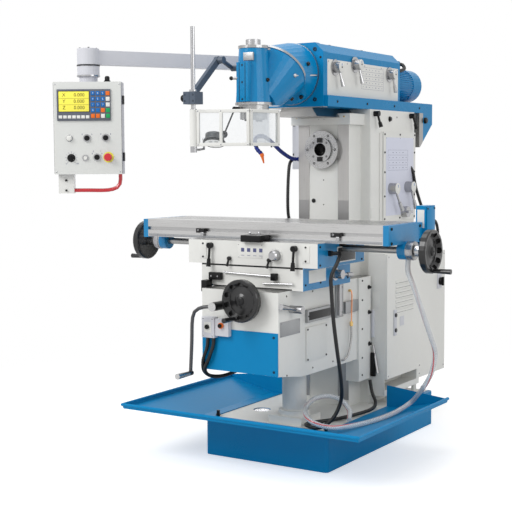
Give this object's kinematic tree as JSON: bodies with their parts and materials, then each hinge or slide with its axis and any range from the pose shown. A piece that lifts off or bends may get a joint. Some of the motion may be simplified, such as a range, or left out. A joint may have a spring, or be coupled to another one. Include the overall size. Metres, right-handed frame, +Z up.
{
  "type": "vertical milling machine",
  "caption": "Knee-type milling machine: slotted table on a saddle and knee, ram with a swivelling vertical head, horizontal spindle, swinging control pendant.",
  "frame": {"origin": "centre of the base casting's flat underside, on the floor", "axes": "+X to the right along the table as the operator faces the machine, +Y from the operator to the back of the machine, +Z up"},
  "size_m": [1.935, 1.9403, 2.071],
  "materials": {
    "blue paint": "gloss machine enamel",
    "white paint": "textured machine enamel",
    "dark paint": "satin enamel",
    "red paint": "gloss enamel",
    "ground steel": "ground and oiled",
    "chromed steel": "polished chrome",
    "black oxide": "blackened",
    "cast wheel": "black enamel",
    "black plastic": "moulded",
    "red plastic": "moulded",
    "blue plastic": "moulded",
    "clear hose": "braided clear hose",
    "cable sheath": "matte",
    "lamp body": "black anodised"
  },
  "bodies": {
    "frame": {"base_casting": "blue paint", "chip_tray": "blue paint", "column": "white paint", "column_rear_cover": "white paint", "column_gear_cover": "white paint", "main_motor": "dark paint", "electrical_cabinet": "white paint", "screw_pedestal": "white paint", "pendant_post": "white paint", "coolant_spout": "blue plastic", "drain_hose": "clear hose", "saddle_cable": "cable sheath"},
    "cabinet_door": {"cabinet_door": "white paint"},
    "horizontal_spindle": {"horizontal_spindle": "ground steel"},
    "speed_lever_front": {"speed_lever_front": "chromed steel"},
    "speed_lever_rear": {"speed_lever_rear": "chromed steel"},
    "shift_knob": {"shift_knob": "chromed steel"},
    "ram_clamp_front": {"ram_clamp_front": "black oxide"},
    "ram_clamp_rear": {"ram_clamp_rear": "black oxide"},
    "knee": {"knee": "white paint", "knee_front_cover": "blue paint", "elevating_screw": "ground steel"},
    "knee_clamp_lever": {"knee_clamp_lever": "chromed steel"},
    "cross_handwheel": {"cross_handwheel": "cast wheel"},
    "lift_crank": {"lift_crank": "black oxide"},
    "saddle": {"saddle": "white paint"},
    "table_clamp_left": {"table_clamp_left": "black oxide"},
    "table_clamp_right": {"table_clamp_right": "black oxide"},
    "feed_knob": {"feed_knob": "chromed steel"},
    "feed_lever": {"feed_lever": "chromed steel"},
    "table": {"table": "ground steel", "table_bracket_left": "blue paint", "table_bracket_right": "blue paint", "table_screw": "ground steel", "feed_gearbox": "blue paint"},
    "handwheel_left": {"handwheel_left": "cast wheel"},
    "handwheel_right": {"handwheel_right": "cast wheel"},
    "ram": {"ram": "blue paint", "ram_motor": "blue paint"},
    "ram_lever_front": {"ram_lever_front": "chromed steel"},
    "ram_lever_middle": {"ram_lever_middle": "chromed steel"},
    "ram_lever_rear": {"ram_lever_rear": "chromed steel"},
    "swivel_housing": {"swivel_housing": "blue paint"},
    "spindle_head": {"spindle_head": "blue paint"},
    "vertical_spindle": {"vertical_spindle": "ground steel"},
    "head_lever": {"head_lever": "black oxide"},
    "guard_arm": {"guard_arm": "dark paint"},
    "guard_rod": {"guard_rod": "chromed steel"},
    "guard_screen": {"guard_screen": "white paint"},
    "work_lamp": {"work_lamp": "lamp body"},
    "pendant_arm": {"pendant_arm": "white paint"},
    "pendant": {"pendant_box": "white paint", "display_unit": "black plastic", "pendant_handle": "red paint"},
    "emergency_stop": {"emergency_stop": "red plastic"},
    "push_button": {"push_button": "black plastic"},
    "selector_left": {"selector_left": "black plastic"},
    "selector_right": {"selector_right": "black plastic"},
    "selector_lower": {"selector_lower": "black plastic"},
    "speed_dial": {"speed_dial": "black plastic"}
  },
  "joints": [
    {"name": "knee_slide", "type": "slide", "parent": "frame", "child": "knee", "axis": [0, 0, 1], "range_m": [-0.14, 0.21], "deforming": ["drain_hose", "saddle_cable"]},
    {"name": "saddle_slide", "type": "slide", "parent": "knee", "child": "saddle", "axis": [0, 1, 0], "range_m": [-0.04, 0.21], "deforming": ["drain_hose", "saddle_cable"]},
    {"name": "table_slide", "type": "slide", "parent": "saddle", "child": "table", "axis": [1, 0, 0], "range_m": [-0.265, 0.29], "deforming": ["drain_hose", "saddle_cable"]},
    {"name": "handwheel_left_turn", "type": "hinge", "parent": "table", "child": "handwheel_left", "pos_m": [-0.81, -0.4725, 1.0566], "axis": [-1, 0, 0], "continuous": true},
    {"name": "handwheel_right_turn", "type": "hinge", "parent": "table", "child": "handwheel_right", "pos_m": [0.81, -0.4725, 1.0566], "axis": [1, 0, 0], "continuous": true},
    {"name": "cross_handwheel_turn", "type": "hinge", "parent": "knee", "child": "cross_handwheel", "pos_m": [0.043, -0.862, 0.826], "axis": [0, -1, 0], "continuous": true},
    {"name": "lift_crank_turn", "type": "hinge", "parent": "knee", "child": "lift_crank", "pos_m": [-0.08, -0.812, 0.797], "axis": [0, -1, 0], "range_deg": [-200, 115]},
    {"name": "knee_clamp_turn", "type": "hinge", "parent": "knee", "child": "knee_clamp_lever", "pos_m": [0.213, -0.708, 0.782], "axis": [1, 0, 0], "range_deg": [-30, 60]},
    {"name": "table_clamp_left_turn", "type": "hinge", "parent": "saddle", "child": "table_clamp_left", "pos_m": [-0.228, -0.711, 1.0643], "axis": [0, -1, 0], "range_deg": [-35, 35]},
    {"name": "table_clamp_right_turn", "type": "hinge", "parent": "saddle", "child": "table_clamp_right", "pos_m": [0.243, -0.711, 1.0643], "axis": [0, -1, 0], "range_deg": [-35, 35]},
    {"name": "feed_knob_turn", "type": "hinge", "parent": "saddle", "child": "feed_knob", "pos_m": [0.139, -0.711, 1.0283], "axis": [0, -1, 0], "range_deg": [-135, 135]},
    {"name": "feed_lever_turn", "type": "hinge", "parent": "saddle", "child": "feed_lever", "pos_m": [0.285, -0.411, 0.924], "axis": [1, 0, 0], "range_deg": [-30, 30]},
    {"name": "lower_spindle_turn", "type": "hinge", "parent": "frame", "child": "horizontal_spindle", "pos_m": [0, -0.015, 1.523], "axis": [0, -1, 0], "continuous": true},
    {"name": "speed_lever_front_turn", "type": "hinge", "parent": "frame", "child": "speed_lever_front", "pos_m": [0.2153, 0.33, 1.315], "axis": [1, 0, 0], "range_deg": [-40, 40]},
    {"name": "speed_lever_rear_turn", "type": "hinge", "parent": "frame", "child": "speed_lever_rear", "pos_m": [0.2153, 0.53, 1.32], "axis": [1, 0, 0], "range_deg": [-15, 40]},
    {"name": "shift_knob_turn", "type": "hinge", "parent": "frame", "child": "shift_knob", "pos_m": [0.2153, 0.487, 1.185], "axis": [1, 0, 0], "range_deg": [-90, 90]},
    {"name": "ram_clamp_front_turn", "type": "hinge", "parent": "frame", "child": "ram_clamp_front", "pos_m": [0.203, 0.165, 1.709], "axis": [1, 0, 0], "range_deg": [-40, 60]},
    {"name": "ram_clamp_rear_turn", "type": "hinge", "parent": "frame", "child": "ram_clamp_rear", "pos_m": [0.203, 0.6, 1.709], "axis": [1, 0, 0], "range_deg": [-40, 60]},
    {"name": "cabinet_door_hinge", "type": "hinge", "parent": "frame", "child": "cabinet_door", "pos_m": [0.308, 0.518, 0.985], "axis": [0, 0, 1], "range_deg": [0, 100]},
    {"name": "ram_slide", "type": "slide", "parent": "frame", "child": "ram", "axis": [0, 1, 0], "range_m": [-0.07, 0.25]},
    {"name": "ram_lever_front_turn", "type": "hinge", "parent": "ram", "child": "ram_lever_front", "pos_m": [0.168, -0.205, 1.925], "axis": [1, 0, 0], "range_deg": [-25, 25]},
    {"name": "ram_lever_middle_turn", "type": "hinge", "parent": "ram", "child": "ram_lever_middle", "pos_m": [0.168, 0.005, 1.952], "axis": [1, 0, 0], "range_deg": [-25, 25]},
    {"name": "ram_lever_rear_turn", "type": "hinge", "parent": "ram", "child": "ram_lever_rear", "pos_m": [0.168, 0.4, 1.925], "axis": [1, 0, 0], "range_deg": [-25, 25]},
    {"name": "head_tilt", "type": "hinge", "parent": "ram", "child": "swivel_housing", "pos_m": [0, -0.325, 1.8913], "axis": [0, 1, 0], "range_deg": [-45, 45]},
    {"name": "head_swivel", "type": "hinge", "parent": "swivel_housing", "child": "spindle_head", "pos_m": [0, -0.4995, 1.8903], "axis": [0, -0.7071, -0.7071], "range_deg": [-45, 45]},
    {"name": "vertical_spindle_turn", "type": "hinge", "parent": "spindle_head", "child": "vertical_spindle", "pos_m": [0, -0.681, 1.7273], "axis": [0, 0, 1], "continuous": true},
    {"name": "head_lever_turn", "type": "hinge", "parent": "spindle_head", "child": "head_lever", "pos_m": [-0.04, -0.77, 1.7093], "axis": [0, 1, 0], "range_deg": [-30, 30]},
    {"name": "guard_arm_turn", "type": "hinge", "parent": "spindle_head", "child": "guard_arm", "pos_m": [-0.125, -0.761, 1.938], "axis": [1, 0, 0], "range_deg": [-60, 0]},
    {"name": "guard_rod_slide", "type": "slide", "parent": "guard_arm", "child": "guard_rod", "axis": [0, 0, 1], "range_m": [-0.08, 0.02]},
    {"name": "guard_screen_turn", "type": "hinge", "parent": "guard_rod", "child": "guard_screen", "pos_m": [-0.121, -0.995, 1.533], "axis": [0, 0, 1], "range_deg": [-100, 0]},
    {"name": "work_lamp_turn", "type": "hinge", "parent": "guard_rod", "child": "work_lamp", "pos_m": [-0.068, -0.905, 1.568], "axis": [1, 0, 0], "range_deg": [-40, 40]},
    {"name": "pendant_arm_turn", "type": "hinge", "parent": "frame", "child": "pendant_arm", "pos_m": [-0.262, 0.203, 1.946], "axis": [0, 0, 1], "range_deg": [-90, 0]},
    {"name": "pendant_turn", "type": "hinge", "parent": "pendant_arm", "child": "pendant", "pos_m": [-0.853, -0.863, 1.859], "axis": [0, 0, 1], "range_deg": [-90, 90]},
    {"name": "emergency_stop_press", "type": "slide", "parent": "pendant", "child": "emergency_stop", "axis": [-0.5417, 0.8406, 0], "range_m": [0, 0.006], "stiffness_N_per_m": 1500, "springref_m": -0.002},
    {"name": "push_button_press", "type": "slide", "parent": "pendant", "child": "push_button", "axis": [-0.5417, 0.8406, 0], "range_m": [0, 0.003], "stiffness_N_per_m": 400, "springref_m": -0.001},
    {"name": "selector_left_turn", "type": "hinge", "parent": "pendant", "child": "selector_left", "pos_m": [-0.82386, -0.9156, 1.584], "axis": [0.5417, -0.8406, 0], "range_deg": [-45, 45]},
    {"name": "selector_right_turn", "type": "hinge", "parent": "pendant", "child": "selector_right", "pos_m": [-0.74653, -0.86576, 1.585], "axis": [0.5417, -0.8406, 0], "range_deg": [-45, 45]},
    {"name": "selector_lower_turn", "type": "hinge", "parent": "pendant", "child": "selector_lower", "pos_m": [-0.78351, -0.8896, 1.49], "axis": [0.5417, -0.8406, 0], "range_deg": [-45, 45]},
    {"name": "speed_dial_turn", "type": "hinge", "parent": "pendant", "child": "speed_dial", "pos_m": [-0.89026, -0.9584, 1.487], "axis": [0.5417, -0.8406, 0], "range_deg": [-140, 140]}
  ]
}
